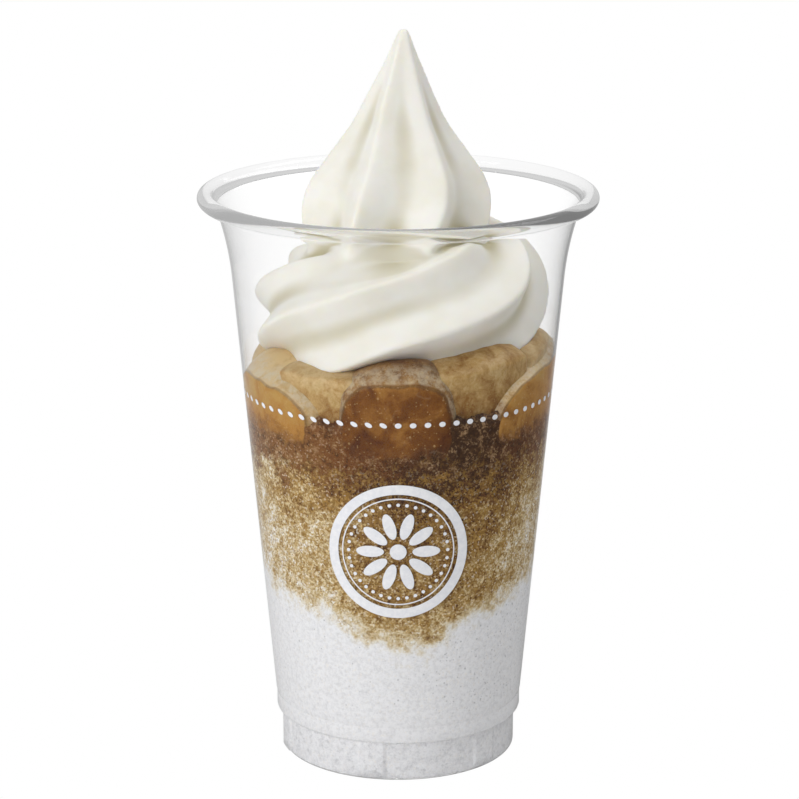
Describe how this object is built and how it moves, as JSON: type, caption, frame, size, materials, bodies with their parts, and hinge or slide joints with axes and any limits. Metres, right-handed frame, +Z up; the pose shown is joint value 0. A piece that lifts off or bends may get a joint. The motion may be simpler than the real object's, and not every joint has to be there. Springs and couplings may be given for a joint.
{
  "type": "cup of halo-halo",
  "caption": "Clear plastic cup of shaved ice with brown syrup and amber jelly pieces, topped with a tall swirl of soft-serve.",
  "frame": {"origin": "centre of the ring that the cup stands on, in the plane of the floor", "axes": "+Z up along the cup's axis; -Y towards the side with the printed medallion; +X to that side's right"},
  "size_m": [0.0918, 0.0918, 0.171],
  "materials": {
    "cup_plastic": "clear, glossy thin PET",
    "print_white": "thin white printed ink",
    "white_ice": "wet, finely grained white ice",
    "syrup_ice": "wet, grainy ice soaked with brown syrup",
    "jelly": "translucent amber jelly, wet",
    "soft_serve": "smooth cream white soft-serve"
  },
  "bodies": {
    "root": {"cup": "cup_plastic", "white_ice": "white_ice", "syrup_ice": "syrup_ice", "jelly_01": "jelly", "jelly_02": "jelly", "jelly_03": "jelly", "jelly_04": "jelly", "jelly_05": "jelly", "jelly_06": "jelly", "jelly_07": "jelly", "jelly_08": "jelly", "jelly_09": "jelly", "jelly_10": "jelly", "jelly_11": "jelly", "jelly_12": "jelly", "jelly_13": "jelly", "soft_serve": "soft_serve"}
  },
  "joints": []
}
